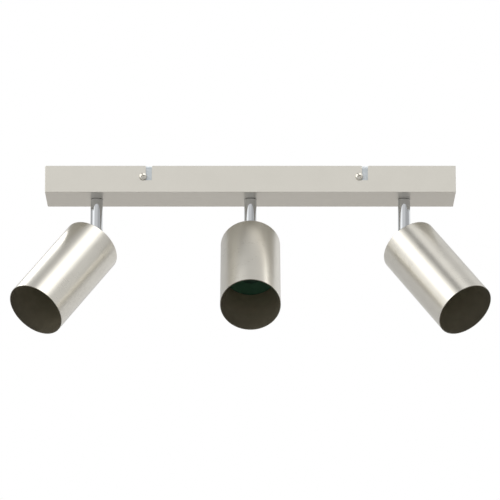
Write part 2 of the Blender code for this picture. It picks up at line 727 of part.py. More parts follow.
def lamp_holder(name, head):
    """A black twist-and-lock lamp holder whose face stands a little proud of the baffle plate."""
    face = baffle_front() - 1.5 * MM
    back = baffle_front() + HOLDER_LENGTH
    flange_front = baffle_front() + BAFFLE_SHEET + GAP
    flange_back = flange_front + 2 * MM
    profile = [
        (0, back), (HOLDER_RADIUS - 3 * MM, back), (HOLDER_RADIUS - 3 * MM, flange_back),
        (HOLDER_FLANGE_RADIUS, flange_back), (HOLDER_FLANGE_RADIUS, flange_front),
        (HOLDER_RADIUS, flange_front), (HOLDER_RADIUS, face + 0.8 * MM), (HOLDER_RADIUS - 0.8 * MM, face),
        (0, face),
    ]
    holder = turned("lamp_holder_" + name, profile, MEDIUM, head)
    for step in (-0.5, 0.5):
        hole = disc_profile(GU10_PIN_HOLE_RADIUS, face + GU10_PIN_HOLE_DEPTH, face - 5 * MM)
        socket = turned("pin_hole", hole, COARSE, head, cutter=True)
        socket.location.x = step * GU10_PIN_SPACING
        combine(holder, socket, "DIFFERENCE")
        bpy.data.objects.remove(socket)
    return finish(holder, holder_black)


def spot(name, step, swivel_deg):
    """One spot. The head is modelled hanging straight down, and the empties turn it to its rest pose."""
    arm = add_empty("swivel_axis_" + name, None, (step * SPOT_PITCH, 0, -BAR_HEIGHT),
                    (0, 0, math.radians(swivel_deg)))
    stem_parts(name, arm)
    pivot = add_empty("pivot_" + name, arm, (0, 0, -PIVOT_BELOW_BAR))
    knuckle_upper(name, pivot)
    hinge_fasteners(name, pivot)
    head = add_empty("tilt_axis_" + name, pivot, (0, 0, 0), (-math.radians(REST_TILT_DEG), 0, 0))
    knuckle_lower(name, head)
    shade(name, head)
    head_fixings(name, head)
    baffle_plate(name, head)
    lamp_holder(name, head)


clear_scene()
parts = new_collection("ceiling_bar_light")
cutters = new_collection("cutters")
cutters.hide_render = True

nickel = make_material("brushed_nickel", (0.62, 0.60, 0.56), 1.0, 0.32)
chrome = make_material("chrome", (0.78, 0.79, 0.81), 1.0, 0.06)
galvanised = make_material("galvanised_steel", (0.56, 0.60, 0.63), 0.9, 0.42)
zinc = make_material("zinc_plated_steel", (0.66, 0.66, 0.64), 1.0, 0.30)
black_paint = make_material("black_paint", (0.022, 0.020, 0.017), 0.0, 0.55)
black_plastic = make_material("black_plastic", (0.03, 0.03, 0.03), 0.0, 0.45)
holder_black = make_material("lamp_holder_black", (0.012, 0.025, 0.018), 0.0, 0.40)
rubber = make_material("grommet_rubber", (0.04, 0.04, 0.04), 0.0, 0.70)
white_plastic = make_material("terminal_polyamide", (0.80, 0.80, 0.76), 0.0, 0.50)
silicone = make_material("lead_sleeve", (0.72, 0.70, 0.66), 0.0, 0.60)
earth_green = make_material("earth_lead_insulation", (0.16, 0.42, 0.10), 0.0, 0.55)

canopy_cover()
mounting_bracket()
cover_screws()
cable_grommet()
terminal_block()
terminal_block_screw()
earth_terminal()
lamp_leads()
for spot_name, spot_step, spot_swivel in SPOTS:
    spot(spot_name, spot_step, spot_swivel)
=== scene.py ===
"""Looks for the ceiling bar light with three adjustable spots.

The frame: the origin is the middle of the ceiling face, +X runs along the bar, -Y is the front and +Z is up.
A spot's own frame has its origin on the tilt pivot, X on the tilt axis and -Z towards the shade's mouth.
"""

import json
import math

import bmesh
import bpy
from mathutils import Matrix, Vector


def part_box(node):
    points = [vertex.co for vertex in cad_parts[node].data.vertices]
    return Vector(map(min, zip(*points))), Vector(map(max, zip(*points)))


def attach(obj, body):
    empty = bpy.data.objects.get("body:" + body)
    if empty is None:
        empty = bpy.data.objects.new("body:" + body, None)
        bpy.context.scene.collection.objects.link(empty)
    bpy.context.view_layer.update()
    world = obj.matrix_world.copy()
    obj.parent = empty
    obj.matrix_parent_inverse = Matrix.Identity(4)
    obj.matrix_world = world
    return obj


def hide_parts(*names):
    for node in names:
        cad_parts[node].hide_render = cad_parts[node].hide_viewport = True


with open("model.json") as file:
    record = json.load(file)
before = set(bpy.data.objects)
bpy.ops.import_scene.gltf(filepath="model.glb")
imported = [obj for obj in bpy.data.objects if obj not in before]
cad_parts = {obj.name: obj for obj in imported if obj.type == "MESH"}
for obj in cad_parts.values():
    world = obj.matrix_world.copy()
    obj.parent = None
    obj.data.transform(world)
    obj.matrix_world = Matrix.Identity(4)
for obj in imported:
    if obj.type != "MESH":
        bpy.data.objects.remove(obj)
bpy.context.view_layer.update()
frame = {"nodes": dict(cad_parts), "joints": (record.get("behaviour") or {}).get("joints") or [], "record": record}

MM = 0.001
NODES = frame["nodes"]
RECORD = frame["record"]
JOINTS = {joint["name"]: joint for joint in frame["joints"]}
MOUNTS = {mount["name"]: mount for mount in RECORD["mounts"]}
SPOTS = ("left", "centre", "right")

# Bar.
COVER_LOW, COVER_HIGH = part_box("canopy_cover")
BAR_LENGTH = COVER_HIGH.x - COVER_LOW.x
BAR_WIDTH = COVER_HIGH.y - COVER_LOW.y
BAR_HEIGHT = COVER_HIGH.z - COVER_LOW.z
COVER_SHEET = 1.0 * MM
COVER_FOLD = 0.5 * MM
BRACKET_LOW, BRACKET_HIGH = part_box("mounting_bracket")
BRACKET_SHEET = 1.2 * MM
BRACKET_FOLD = 2.0 * MM
SLOT_WIDTH = 5.8 * MM
SLOT_OFFSET = 5.7 * MM
SLOT_TOP = -8.6 * MM
SLOT_LEAD_IN = 0.8 * MM
STEM_HOLE_RADIUS = 5.2 * MM
CEILING_SLOT_LENGTH = 22 * MM
CEILING_SLOT_WIDTH = 5.5 * MM
CEILING_SLOT_X = 128 * MM
CABLE_HOLE_RADIUS = 8 * MM
TERMINAL_HOLE_RADIUS = 1.8 * MM
SCREW_HOLE_RADIUS = 2.25 * MM
SCREW_HEAD_RADIUS = 3.7 * MM
SCREW_HEAD_HEIGHT = 2.6 * MM
SCREW_RADIUS = 2.0 * MM
SCREW_LENGTH = 9 * MM
GROMMET_BORE_RADIUS = 5.2 * MM
GAP = 0.3 * MM
FINE_GAP = 0.15 * MM
HAIR_GAP = 0.05 * MM

# Spots.
STEM_RADIUS = 6 * MM
STEM_BORE_RADIUS = 5 * MM
NIPPLE_RADIUS = 4.7 * MM
NECK_TOP = 3 * MM
WASHER_THICKNESS = 0.2 * MM
KNUCKLE_RADIUS = 6.8 * MM
KNUCKLE_BORE_RADIUS = 2.8 * MM
HINGE_HOLE_RADIUS = 2.3 * MM
HINGE_SEAT = 3.2 * MM
SHADE_RADIUS = 29 * MM
SHADE_WALL = 0.8 * MM
SHADE_BACK = 9.5 * MM
SHADE_LENGTH = 104 * MM
BAFFLE_DEPTH = 58.5 * MM
BAFFLE_SHEET = 0.8 * MM
BAFFLE_RIM = 6 * MM
BAFFLE_FRONT = -SHADE_BACK - SHADE_LENGTH + BAFFLE_DEPTH
HOLDER_RADIUS = 14 * MM
HOLDER_FLANGE_RADIUS = 17 * MM
HOLDER_LENGTH = 12 * MM
PIN_HOLE_RADIUS = 2.9 * MM
PIN_SPACING = 10 * MM
TWIST_SLOT_HALF = 1.4 * MM
TWIST_TURN = 55

# How far a cutter reaches past a sheet on each side.
CUTTER_REACH = 4 * MM

# Fineness of round shapes.
ROUND = 96
SMALL_ROUND = 48
SHADE_ROUND = 160


# ---------------------------------------------------------------- node helpers

class Nodes:
    """Short calls for building one material's or the world's nodes."""

    def __init__(self, tree):
        self.tree = tree
        self.nodes = tree.nodes

    def add(self, kind, **settings):
        node = self.nodes.new(kind)
        for key, value in settings.items():
            setattr(node, key, value)
        return node

    def link(self, source, target):
        self.tree.links.new(source, target)

    def feed(self, node, **values):
        """Sets or links inputs by name. An underscore stands for a space."""
        for key, value in values.items():
            socket = node.inputs[key.replace("_", " ")]
            if isinstance(value, bpy.types.NodeSocket):
                self.link(value, socket)
            else:
                socket.default_value = value
        return node

    def math(self, operation, *values):
        node = self.add("ShaderNodeMath", operation=operation)
        for socket, value in zip(node.inputs, values):
            if isinstance(value, bpy.types.NodeSocket):
                self.link(value, socket)
            else:
                socket.default_value = value
        return node.outputs[0]

    def coordinates(self, scale):
        place = self.add("ShaderNodeTexCoord").outputs["Object"]
        mapping = self.feed(self.add("ShaderNodeMapping"), Vector=place, Scale=scale)
        return mapping.outputs[0]

    def noise(self, vector, scale, detail=3.0, roughness=0.5):
        node = self.add("ShaderNodeTexNoise")
        self.feed(node, Vector=vector, Scale=scale, Detail=detail, Roughness=roughness)
        return node.outputs["Fac"]

    def spread(self, value, low, high, clip_low=0.3, clip_high=0.7):
        """Maps a noise value from its usual range to low..high."""
        node = self.feed(self.add("ShaderNodeMapRange"), Value=value, From_Min=clip_low, From_Max=clip_high,
                         To_Min=low, To_Max=high)
        return node.outputs[0]

    def tint(self, factor, dark, light):
        node = self.add("ShaderNodeMix", data_type="RGBA")
        self.link(factor, node.inputs[0])
        node.inputs[6].default_value = (*dark, 1)
        node.inputs[7].default_value = (*light, 1)
        return node.outputs[2]

    def bump(self, height, strength, distance):
        node = self.feed(self.add("ShaderNodeBump"), Height=height, Strength=strength, Distance=distance)
        return node.outputs[0]


def new_material(name):
    """A material with its node helper and its Principled shader."""
    material = bpy.data.materials.new(name)
    material.use_nodes = True
    return material, Nodes(material.node_tree), material.node_tree.nodes["Principled BSDF"]


def brushed_metal(name, dark, light, roughness, grain_scale, grain_bump, edge_tint=(1, 1, 1)):
    """Plated or polished metal: grain stretched by grain_scale, faint smudges and a soft colour drift."""
    material, n, shader = new_material(name)
    grain = n.noise(n.coordinates(grain_scale), 1.0, 4.0, 0.6)
    smudge = n.noise(n.coordinates((1, 1, 1)), 45.0, 3.0)
    fleck = n.noise(n.coordinates((1, 1, 1)), 900.0, 2.0)
    n.feed(shader, Base_Color=n.tint(n.spread(smudge, 0, 1), dark, light), Metallic=1.0,
           Specular_Tint=(*edge_tint, 1))
    low, high = roughness
    rough = n.math("ADD", n.spread(grain, low, high), n.spread(smudge, -0.012, 0.012))
    n.feed(shader, Roughness=n.math("ADD", rough, n.spread(fleck, -0.004, 0.004)),
           Normal=n.bump(grain, grain_bump, 0.02 * MM))
    return material


def matt_solid(name, dark, light, roughness, grain=1400.0, bump=0.25, depth=0.05 * MM):
    """Paint, moulded plastic, ceramic or rubber: mottled colour and a fine raised texture."""
    material, n, shader = new_material(name)
    place = n.coordinates((1, 1, 1))
    mottle = n.noise(place, 120.0, 4.0)
    pores = n.noise(place, grain, 3.0)
    low, high = roughness
    n.feed(shader, Base_Color=n.tint(n.spread(mottle, 0, 1), dark, light),
           Roughness=n.spread(pores, low, high), Normal=n.bump(pores, bump, depth))
    return material


def shade_lining(name, dark, light, painted_light_gain):
    """Matt paint inside a shade, made paler from the mouth to the baffle by the given gain: painted light that
    brightens the deep part of the lining.
    """
    material, n, shader = new_material(name)
    place = n.coordinates((1, 1, 1))
    height = n.feed(n.add("ShaderNodeSeparateXYZ"), Vector=place).outputs["Z"]
    # Painted light: the lining's colour is scaled up from 1 at the mouth to the gain at the baffle.
    depth = n.spread(height, 1.0, painted_light_gain, -SHADE_BACK - SHADE_LENGTH, BAFFLE_FRONT)
    colour = n.tint(n.spread(n.noise(place, 120.0, 4.0), 0, 1), dark, light)
    scaled = n.add("ShaderNodeVectorMath", operation="SCALE")
    n.feed(scaled, Vector=colour, Scale=depth)
    pores = n.noise(place, 1400.0)
    n.feed(shader, Base_Color=scaled.outputs[0], Roughness=n.spread(pores, 0.55, 0.66),
           Normal=n.bump(pores, 0.25, 0.05 * MM))
    return material


def galvanised_metal(name):
    """Zinc-coated sheet: pale crystals of slightly different tone, with a dull, uneven sheen."""
    material, n, shader = new_material(name)
    place = n.coordinates((1, 1, 1))
    crystals = n.feed(n.add("ShaderNodeTexVoronoi"), Vector=place, Scale=260.0).outputs["Color"]
    tone = n.feed(n.add("ShaderNodeSeparateColor"), Color=crystals).outputs[0]
    cloud = n.noise(place, 60.0, 4.0)
    mixed = n.math("ADD", n.math("MULTIPLY", tone, 0.5), n.math("MULTIPLY", cloud, 0.5))
    n.feed(shader, Base_Color=n.tint(mixed, (0.45, 0.49, 0.51), (0.65, 0.68, 0.70)), Metallic=0.85,
           Roughness=n.spread(mixed, 0.34, 0.50), Normal=n.bump(cloud, 0.1, 0.05 * MM))
    return material


def striped_insulation(name):
    """Green insulation with a yellow stripe round part of the wire."""
    material, n, shader = new_material(name)
    place = n.coordinates((1, 1, 1))
    separate = n.feed(n.add("ShaderNodeSeparateXYZ"), Vector=place)
    band = n.math("SINE", n.math("MULTIPLY", separate.outputs[0], 420.0))
    colour = n.tint(n.math("GREATER_THAN", band, 0.2), (0.05, 0.26, 0.06), (0.80, 0.72, 0.05))
    n.feed(shader, Base_Color=colour, Roughness=n.spread(n.noise(place, 600.0), 0.35, 0.5))
    return material


# ---------------------------------------------------------------- mesh helpers

def new_piece(name, mesh, matrix=None, material=None):
    piece = bpy.data.objects.new(name, mesh)
    bpy.context.scene.collection.objects.link(piece)
    if matrix is not None:
        piece.matrix_world = matrix
    if material is not None:
        mesh.materials.clear()
        mesh.materials.append(material)
    return piece


def mesh_from(name, shape):
    bmesh.ops.recalc_face_normals(shape, faces=shape.faces)
    mesh = bpy.data.meshes.new(name)
    shape.to_mesh(mesh)
    shape.free()
    return mesh


def fillet(points, radii, steps=4):
    """Rounds the corners of a closed outline. radii is one radius for all the corners, or one for each."""
    count = len(points)
    if not isinstance(radii, (list, tuple)):
        radii = [radii] * count
    rounded = []
    for i, radius in enumerate(radii):
        corner = Vector(points[i])
        back = Vector(points[i - 1]) - corner
        ahead = Vector(points[(i + 1) % count]) - corner
        if radius == 0 or back.length < 1e-9 or ahead.length < 1e-9:
            rounded.append(tuple(corner))
            continue
        half_angle = back.angle(ahead) / 2
        run = min(radius / math.tan(half_angle), 0.49 * back.length, 0.49 * ahead.length)
        start = corner + back.normalized() * run
        end = corner + ahead.normalized() * run
        for k in range(steps + 1):
            t = k / steps
            rounded.append(tuple(start * (1 - t) ** 2 + corner * 2 * t * (1 - t) + end * t**2))
    return rounded


def revolve(name, profile, segments=ROUND):
    """Turns a closed outline of (radius, height) points about Z. Points on the axis become one vertex."""
    shape = bmesh.new()
    rings = []
    for radius, height in profile:
        if radius < 1e-7:
            rings.append([shape.verts.new((0, 0, height))])
            continue
        turns = [math.tau * i / segments for i in range(segments)]
        rings.append([shape.verts.new((radius * math.cos(a), radius * math.sin(a), height)) for a in turns])
    for ring, following in zip(rings, rings[1:] + rings[:1]):
        if len(ring) == 1 and len(following) == 1:
            continue
        for i in range(segments):
            j = (i + 1) % segments
            near = [ring[i % len(ring)], ring[j % len(ring)]]
            corners = near + [following[j % len(following)], following[i % len(following)]]
            unique = list(dict.fromkeys(corners))
            shape.faces.new(unique)
    return mesh_from(name, shape)


def extrude_outline(name, outline, bottom, top, inner=None):
    """A prism from a flat outline of (x, y) points, with an optional hole of as many points."""
    shape = bmesh.new()

    def ring(points, z):
        return [shape.verts.new((x, y, z)) for x, y in points]

    low, high = ring(outline, bottom), ring(outline, top)
    count = len(outline)
    for i in range(count):
        j = (i + 1) % count
        shape.faces.new((low[i], low[j], high[j], high[i]))
    if inner is None:
        shape.faces.new(high)
        shape.faces.new(low[::-1])
        return mesh_from(name, shape)
    hole_low, hole_high = ring(inner, bottom), ring(inner, top)
    for i in range(count):
        j = (i + 1) % count
        shape.faces.new((hole_low[j], hole_low[i], hole_high[i], hole_high[j]))
        shape.faces.new((high[i], high[j], hole_high[j], hole_high[i]))
        shape.faces.new((low[j], low[i], hole_low[i], hole_low[j]))
    return mesh_from(name, shape)


def applied(piece):
    """Applies a piece's modifiers to its mesh."""
    bpy.context.view_layer.update()
    graph = bpy.context.evaluated_depsgraph_get()
    mesh = bpy.data.meshes.new_from_object(piece.evaluated_get(graph))
    mesh.name = piece.name
    piece.modifiers.clear()
    piece.data = mesh
    return piece


def cut(piece, cutters, operation="DIFFERENCE"):
    for cutter in cutters:
        boolean = piece.modifiers.new("cut", "BOOLEAN")
        boolean.operation = operation
        boolean.solver = "EXACT"
        boolean.object = cutter
        applied(piece)
        bpy.data.objects.remove(cutter)
    return piece


def smooth(piece, angle=32, edge=0.0, segments=2):
    """Softens sharp edges by a small bevel if asked, and shades with weighted normals."""
    if edge:
        bevel = piece.modifiers.new("edge", "BEVEL")
        bevel.width = edge
        bevel.segments = segments
        bevel.limit_method = "ANGLE"
        bevel.angle_limit = math.radians(angle)
        applied(piece)
    piece.data.shade_smooth()
    piece.data.set_sharp_from_angle(angle=math.radians(angle))
    weighted = piece.modifiers.new("normals", "WEIGHTED_NORMAL")
    weighted.keep_sharp = True
    return applied(piece)


def finish(piece, body, node):
    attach(piece, body)
    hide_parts(node)
    return piece


def arc(centre, radius, start_deg, end_deg, steps):
    angles = [math.radians(start_deg + (end_deg - start_deg) * i / steps) for i in range(steps + 1)]
    return [(centre[0] + radius * math.cos(a), centre[1] + radius * math.sin(a)) for a in angles]


def turned_cutter(radius, bottom, top, matrix, steps=SMALL_ROUND):
    outline = [(0, top), (radius, top), (radius, bottom), (0, bottom)]
    return new_piece("cutter", revolve("cutter", outline, steps), matrix)


def block_cutter(size, matrix):
    shape = bmesh.new()
    bmesh.ops.create_cube(shape, size=1)
    bmesh.ops.scale(shape, vec=size, verts=shape.verts)
    return new_piece("cutter", mesh_from("cutter", shape), matrix)


# ---------------------------------------------------------------- materials

satin_nickel = brushed_metal("satin_nickel", (0.650, 0.626, 0.566), (0.672, 0.648, 0.588), (0.275, 0.315),
                             (60, 60, 2600), 0.08)
bar_nickel = brushed_metal("bar_nickel", (0.655, 0.632, 0.572), (0.668, 0.645, 0.585), (0.285, 0.325),
                           (25, 2400, 2400), 0.08, (0.93, 0.90, 0.87))
chrome = brushed_metal("polished_chrome", (0.525, 0.540, 0.555), (0.555, 0.570, 0.585), (0.035, 0.06),
                       (300, 300, 300), 0.01)
zinc = brushed_metal("zinc_plate", (0.58, 0.58, 0.55), (0.70, 0.69, 0.65), (0.25, 0.36),
                     (900, 900, 900), 0.15)
galvanised = galvanised_metal("galvanised_steel")
# The lining's last value is painted light: its colour grows 4.5 times paler from the mouth to the baffle.
black_paint = shade_lining("black_paint", (0.078, 0.068, 0.046), (0.092, 0.081, 0.056), 4.5)
baffle_black = matt_solid("baffle_black", (0.030, 0.110, 0.055), (0.040, 0.130, 0.070), (0.50, 0.62))
holder_black = matt_solid("lamp_holder_black", (0.014, 0.055, 0.032), (0.021, 0.070, 0.042),
                          (0.30, 0.42), 900.0)
# Black plastic for the friction washers. Their dark colour is partly painted shade: it draws the thin dark line
# where a stem meets the bar.
black_plastic = matt_solid("black_plastic", (0.045, 0.045, 0.045), (0.060, 0.060, 0.060), (0.40, 0.52))
rubber = matt_solid("grommet_rubber", (0.022, 0.022, 0.022), (0.040, 0.040, 0.038), (0.62, 0.75))
polyamide = matt_solid("terminal_polyamide", (0.70, 0.70, 0.65), (0.80, 0.80, 0.76), (0.42, 0.55))
sleeve = matt_solid("lead_sleeve", (0.64, 0.62, 0.57), (0.74, 0.72, 0.68), (0.50, 0.65))
earth_insulation = striped_insulation("earth_lead_insulation")


# ---------------------------------------------------------------- bar

def folded_box(name, low, high, missing, fold, segments, sharp_top=False):
    """A box surface without the faces that point along the missing directions, its folds rounded."""
    size = high - low
    shape = bmesh.new()
    bmesh.ops.create_cube(shape, size=1)
    bmesh.ops.scale(shape, vec=size, verts=shape.verts)
    bmesh.ops.translate(shape, vec=(low + high) / 2, verts=shape.verts)
    away = [f for f in shape.faces if any((f.normal - Vector(d)).length < 0.01 for d in missing)]
    bmesh.ops.delete(shape, geom=away, context="FACES")
    folds = [e for e in shape.edges if len(e.link_faces) == 2]
    if sharp_top:
        folds = [e for e in folds if min(v.co.z for v in e.verts) < high.z - fold]
    bmesh.ops.bevel(shape, geom=folds, offset=fold, segments=segments, affect="EDGES", profile=0.5)
    mesh = bpy.data.meshes.new(name)
    shape.to_mesh(mesh)
    shape.free()
    return new_piece(name, mesh)


def thicken(piece, sheet):
    solidify = piece.modifiers.new("sheet", "SOLIDIFY")
    solidify.thickness = sheet
    solidify.offset = -1
    solidify.use_even_offset = True
    return applied(piece)


def cover_slot(x, side):
    """The cutter for an L-shaped cover slot, open at the top edge on the screw's +X side."""
    half = SLOT_WIDTH / 2
    near = SLOT_OFFSET - half
    far = SLOT_OFFSET + half
    above = 5 * MM
    reach = 6 * COVER_SHEET
    near_side = [(near - SLOT_LEAD_IN, above), (near - SLOT_LEAD_IN, 0),
                 (near, -SLOT_LEAD_IN), (near, SLOT_TOP)]
    foot = arc((0, SLOT_TOP - half), half, 90, 270, 16)
    far_side = [(far, SLOT_TOP - SLOT_WIDTH), (far, -SLOT_LEAD_IN),
                (far + SLOT_LEAD_IN, 0), (far + SLOT_LEAD_IN, above)]
    mesh = extrude_outline("cutter", near_side + foot + far_side, -reach / 2, reach / 2)
    upright = Matrix.Rotation(math.pi / 2, 4, "X")
    return new_piece("cutter", mesh, Matrix.Translation((x, side * BAR_WIDTH / 2, 0)) @ upright)


def make_cover():
    cover = folded_box("canopy_cover_fine", COVER_LOW, COVER_HIGH, [], COVER_FOLD, 5, sharp_top=True)
    cavity = Vector((BAR_LENGTH, BAR_WIDTH, 2 * BAR_HEIGHT)) - Vector((2, 2, 2)) * COVER_SHEET
    cut(cover, [block_cutter(cavity, Matrix())])
    screw_x = [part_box("cover_screw_front_" + end) for end in ("left", "right")]
    cutters = [cover_slot((low.x + high.x) / 2, side) for low, high in screw_x for side in (-1, 1)]
    for spot in SPOTS:
        x, y, z = JOINTS[spot + "_swivel"]["pos_m"]
        stem_hole = Matrix.Translation((x, y, z))
        cutters.append(turned_cutter(STEM_HOLE_RADIUS, -CUTTER_REACH, CUTTER_REACH, stem_hole))
    cut(cover, cutters)
    cover.data.materials.clear()
    cover.data.materials.append(bar_nickel)
    smooth(cover, edge=0.12 * MM, segments=1)
    finish(cover, "bar", "canopy_cover")


def make_bracket():
    open_sides = [(0, 0, -1), (1, 0, 0), (-1, 0, 0)]
    bracket = folded_box("mounting_bracket_fine", BRACKET_LOW, BRACKET_HIGH, open_sides, BRACKET_FOLD, 6)
    thicken(bracket, BRACKET_SHEET)
    half_run = (CEILING_SLOT_LENGTH - CEILING_SLOT_WIDTH) / 2
    end_radius = CEILING_SLOT_WIDTH / 2
    oblong = arc((half_run, 0), end_radius, -90, 90, 14) + arc((-half_run, 0), end_radius, 90, 270, 14)
    cutters = []
    for x in (-CEILING_SLOT_X, CEILING_SLOT_X):
        mesh = extrude_outline("cutter", oblong, -CUTTER_REACH, CUTTER_REACH)
        cutters.append(new_piece("cutter", mesh, Matrix.Translation((x, 0, 0))))
    low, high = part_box("cable_grommet")
    cable_hole = Matrix.Translation(((low.x + high.x) / 2, 0, 0))
    cutters.append(turned_cutter(CABLE_HOLE_RADIUS, -CUTTER_REACH, CUTTER_REACH, cable_hole))
    low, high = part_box("terminal_block_screw")
    terminal_hole = Matrix.Translation(((low.x + high.x) / 2, 0, 0))
    cutters.append(turned_cutter(TERMINAL_HOLE_RADIUS, -CUTTER_REACH, CUTTER_REACH, terminal_hole))
    upright = Matrix.Rotation(math.pi / 2, 4, "X")
    screws = [f"cover_screw_{face}_{end}" for face in ("front", "back") for end in ("left", "right")]
    for node in [*screws, "earth_screw"]:
        low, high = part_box(node)
        middle = (low + high) / 2
        side = -1 if middle.y < 0 else 1
        place = Matrix.Translation((middle.x, side * BRACKET_HIGH.y, middle.z)) @ upright
        cutters.append(turned_cutter(SCREW_HOLE_RADIUS, -3 * MM, 3 * MM, place))
    cut(bracket, cutters)
    bracket.data.materials.clear()
    bracket.data.materials.append(galvanised)
    smooth(bracket, edge=0.12 * MM, segments=1)
    finish(bracket, "bar", "mounting_bracket")


def cross_recess(head_radius, head_height, matrix):
    """Two crossed wedges that narrow downwards, as the cutters for a cross recess in a screw's head."""
    cutters = []
    for turn in (0, math.pi / 2):
        shape = bmesh.new()
        top = (0.50 * head_radius, 0.12 * head_radius)
        foot = (0.20 * head_radius, 0.07 * head_radius)
        levels = ((top, 1.3 * head_height), (top, head_height), (foot, 0.30 * head_height))
        rings = []
        for (half_length, half_width), z in levels:
            corners = ((-1, -1), (1, -1), (1, 1), (-1, 1))
            rings.append([shape.verts.new((sx * half_length, sy * half_width, z)) for sx, sy in corners])
        for low, high in zip(rings, rings[1:]):
            for i in range(4):
                j = (i + 1) % 4
                shape.faces.new((low[i], low[j], high[j], high[i]))
        shape.faces.new(rings[0])
        shape.faces.new(rings[-1])
        mesh = mesh_from("cutter", shape)
        cutters.append(new_piece("cutter", mesh, matrix @ Matrix.Rotation(turn, 4, "Z")))
    return cutters


def make_screw(name, body, node, material, matrix, head_radius, head_height, shank_radius, length):
    """A domed screw with a cross recess, pointing down its own -Z, with ridges for its thread."""
    rim = 0.22 * head_height
    dome = [(head_radius * math.cos(math.radians(a)), rim + (head_height - rim) * math.sin(math.radians(a)))
            for a in range(90, -1, -6)]
    dome[0] = (0, head_height)
    seat = [(head_radius - 0.15 * MM, 0), (shank_radius, 0)]
    pitch = 0.7 * MM
    ridge = 0.18 * MM
    thread = []
    z = -0.8 * MM
    while z - pitch > -length + 0.6 * MM:
        thread += [(shank_radius, z), (shank_radius - ridge, z - pitch / 2)]
        z -= pitch
    tip = [(shank_radius, z), (shank_radius - 0.6 * MM, -length), (0, -length)]
    piece = new_piece(name, revolve(name, dome + seat + thread + tip, SMALL_ROUND), matrix, material)
    cut(piece, cross_recess(head_radius, head_height, matrix))
    smooth(piece, angle=38)
    return finish(piece, body, node)


def make_cover_screws():
    for face, side in (("front", -1), ("back", 1)):
        for end, turn in (("left", 20), ("right", 35)):
            node = f"cover_screw_{face}_{end}"
            low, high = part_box(node)
            middle = (low + high) / 2
            seat = side * (BAR_WIDTH / 2 + FINE_GAP)
            matrix = (Matrix.Translation((middle.x, seat, middle.z))
                      @ Matrix.Rotation(-side * math.pi / 2, 4, "X")
                      @ Matrix.Rotation(math.radians(turn), 4, "Z"))
            make_screw(node + "_fine", "bar", node, satin_nickel, matrix,
                       SCREW_HEAD_RADIUS, SCREW_HEAD_HEIGHT, SCREW_RADIUS, SCREW_LENGTH)


def make_grommet():
    low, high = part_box("cable_grommet")
    flange = (high.x - low.x) / 2
    collar = CABLE_HOLE_RADIUS - GAP
    bore = GROMMET_BORE_RADIUS
    step = -BRACKET_SHEET - FINE_GAP
    outline = [(collar, high.z), (collar, step), (flange, step), (flange, low.z),
               (bore, low.z), (bore, high.z)]
    profile = fillet(outline, [0.25 * MM, 0, 0.5 * MM, 0.8 * MM, 0.7 * MM, 0.4 * MM], 5)
    matrix = Matrix.Translation(((low.x + high.x) / 2, 0, 0))
    piece = smooth(new_piece("cable_grommet_fine", revolve("cable_grommet_fine", profile), matrix, rubber))
    finish(piece, "bar", "cable_grommet")


# ---------------------------------------------------------------- spots

def spot_frames(spot):
    """The frames of one spot at rest: on the swivel axis at the bar's underside, on the tilt pivot, and the
    head's own."""
    across = Vector(JOINTS[spot + "_tilt"]["axis"]).normalized()
    foot = Vector(JOINTS[spot + "_swivel"]["pos_m"])
    pivot = Vector(JOINTS[spot + "_tilt"]["pos_m"])
    mouth_way = Vector(MOUNTS["lamp_seat_" + spot]["axis"]).normalized()

    def axes(up, origin):
        matrix = Matrix.Identity(4)
        for column, axis in enumerate((across, up.cross(across), up, origin)):
            for row in range(3):
                matrix[row][column] = axis[row]
        return matrix

    upright = Vector((0, 0, 1))
    return axes(upright, foot), axes(upright, pivot), axes(-mouth_way, pivot)


def ring_piece(name, outer, inner, top, bottom, matrix, material, radius, segments=ROUND):
    outline = [(outer, top), (outer, bottom), (inner, bottom), (inner, top)]
    return smooth(new_piece(name, revolve(name, fillet(outline, radius), segments), matrix, material))


def make_stem(spot, arm, pivot_matrix):
    pivot_drop = arm.translation.z - pivot_matrix.translation.z
    body = "swivel_" + spot
    washer_top = -HAIR_GAP
    washer_low = washer_top - WASHER_THICKNESS
    # The washer is a real part, and its dark colour also paints the shadow line between the stem and the bar.
    washer = ring_piece("friction_washer_" + spot + "_fine", STEM_RADIUS, STEM_HOLE_RADIUS,
                        washer_top, washer_low, arm, black_plastic, 0.05 * MM)
    finish(washer, body, "friction_washer_" + spot)
    bottom = KNUCKLE_RADIUS + NECK_TOP - pivot_drop + FINE_GAP
    stem = ring_piece("stem_" + spot + "_fine", STEM_RADIUS, STEM_BORE_RADIUS,
                      washer_low - HAIR_GAP, bottom, arm, chrome, 0.1 * MM)
    finish(stem, body, "stem_" + spot)


def half_ball(name, side, matrix):
    """Half a ball on one side of the tilt plane, closed by a flat face with a softened edge."""
    flat = FINE_GAP
    reach = math.acos(flat / KNUCKLE_RADIUS)
    steps = 24
    curve = [(KNUCKLE_RADIUS * math.sin(reach * k / steps), KNUCKLE_RADIUS * math.cos(reach * k / steps))
             for k in range(steps + 1)]
    outline = curve + [(0, flat)]
    lie_down = Matrix.Rotation(side * math.pi / 2, 4, "Y")
    return new_piece(name, revolve(name, outline, 64), matrix @ lie_down)


def along_x(matrix, start, end, radius):
    return turned_cutter(radius, start, end, matrix @ Matrix.Rotation(math.pi / 2, 4, "Y"), 40)


